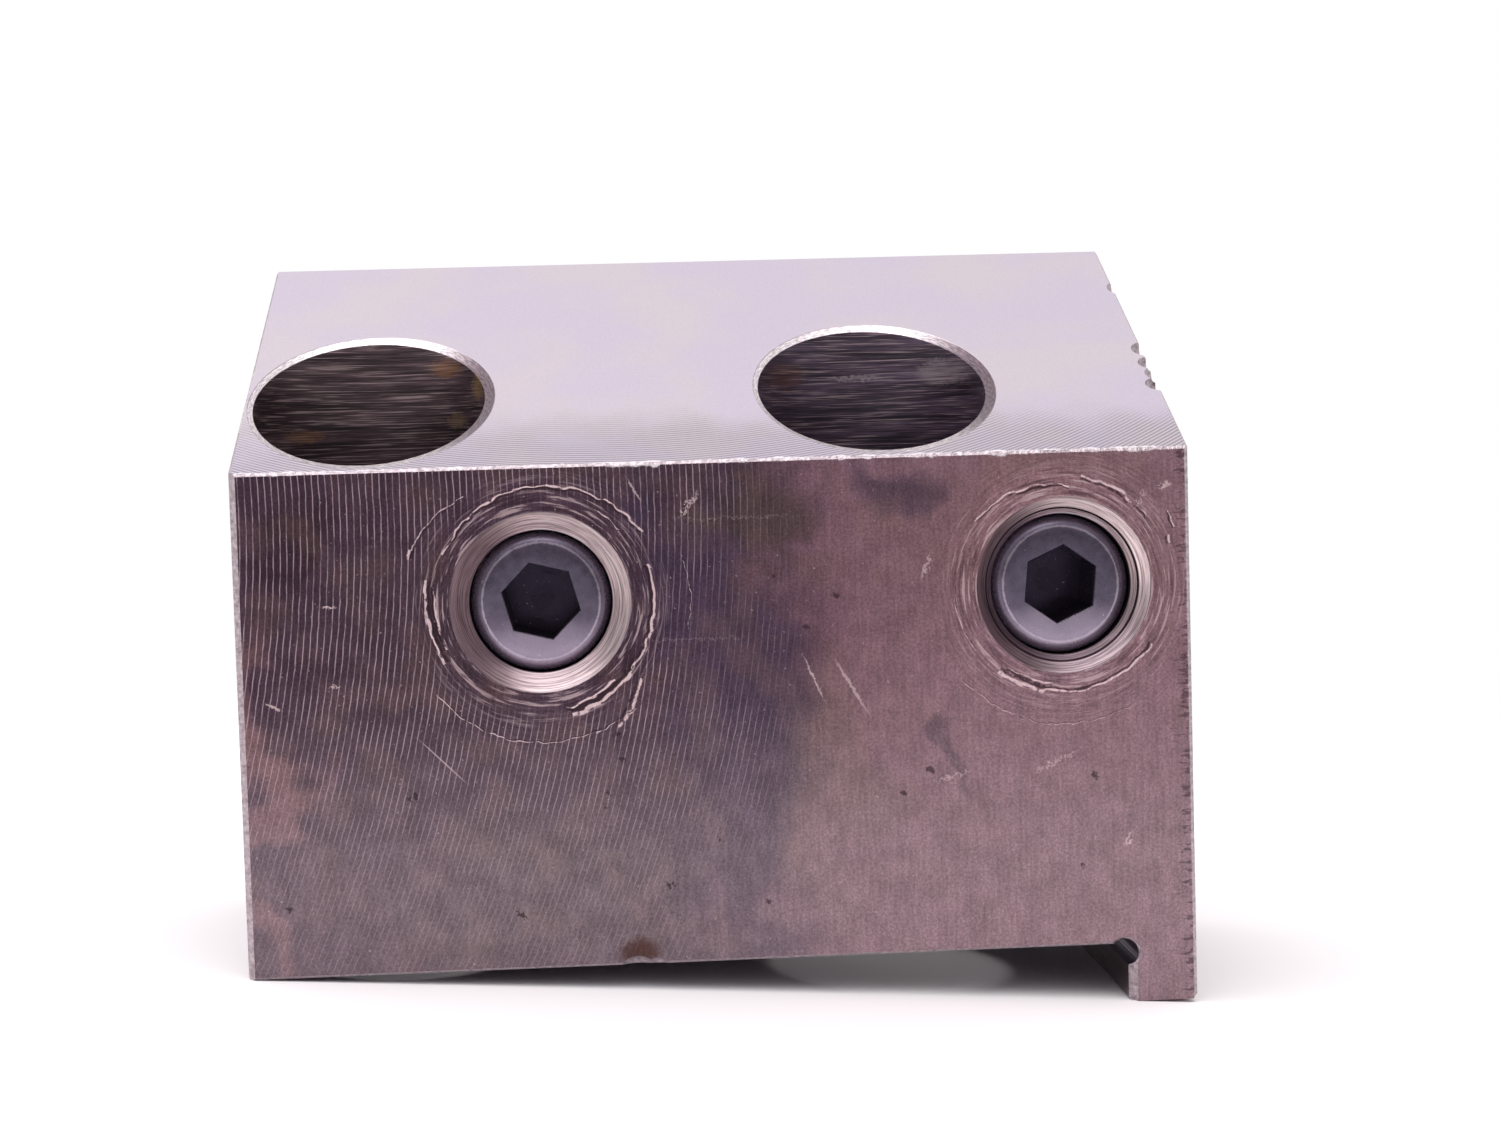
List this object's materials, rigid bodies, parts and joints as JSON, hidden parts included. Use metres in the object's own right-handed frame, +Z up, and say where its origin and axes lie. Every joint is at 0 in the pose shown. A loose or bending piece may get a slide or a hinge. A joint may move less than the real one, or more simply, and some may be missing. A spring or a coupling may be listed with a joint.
{
  "type": "boring bar holder",
  "caption": "Steel block that holds boring bars upright in clamped bores, with a flat seat, a locating lip and an inclined top face.",
  "frame": {"origin": "middle of the seat's width and of the block's depth, on the seat face", "axes": "+X to the right along the width, +Y from the front face to the back, +Z up, along the bores"},
  "size_m": [0.1016, 0.0454, 0.0838],
  "materials": {
    "block_steel": "milled steel, darkened by handling, with scratches and edge wear",
    "black_oxide_steel": "black oxide, satin",
    "nut_steel": "turned steel"
  },
  "bodies": {
    "block": {"block": "block_steel"},
    "clamp_screw_left": {"clamp_screw_left": "black_oxide_steel"},
    "wedge_nut_left": {"wedge_nut_left": "nut_steel"},
    "clamp_screw_right": {"clamp_screw_right": "black_oxide_steel"},
    "wedge_nut_right": {"wedge_nut_right": "nut_steel"}
  },
  "joints": [
    {"name": "clamp_screw_left_turn", "type": "hinge", "parent": "block", "child": "clamp_screw_left", "pos_m": [-0.0187, -0.02275, 0.039], "axis": [0, -1, 0], "range_deg": [-180, 1080]},
    {"name": "wedge_nut_left_slide", "type": "slide", "parent": "block", "child": "wedge_nut_left", "axis": [0, 1, 0], "range_m": [-0.00079, 0.00476]},
    {"name": "clamp_screw_right_turn", "type": "hinge", "parent": "block", "child": "clamp_screw_right", "pos_m": [0.0371, -0.02275, 0.039], "axis": [0, -1, 0], "range_deg": [-180, 1080]},
    {"name": "wedge_nut_right_slide", "type": "slide", "parent": "block", "child": "wedge_nut_right", "axis": [0, 1, 0], "range_m": [-0.00079, 0.00476]}
  ],
  "couplings": [
    {"joint": "wedge_nut_left_slide", "follows": "clamp_screw_left_turn", "m_per_rad": 0.00025266},
    {"joint": "wedge_nut_right_slide", "follows": "clamp_screw_right_turn", "m_per_rad": 0.00025266}
  ]
}
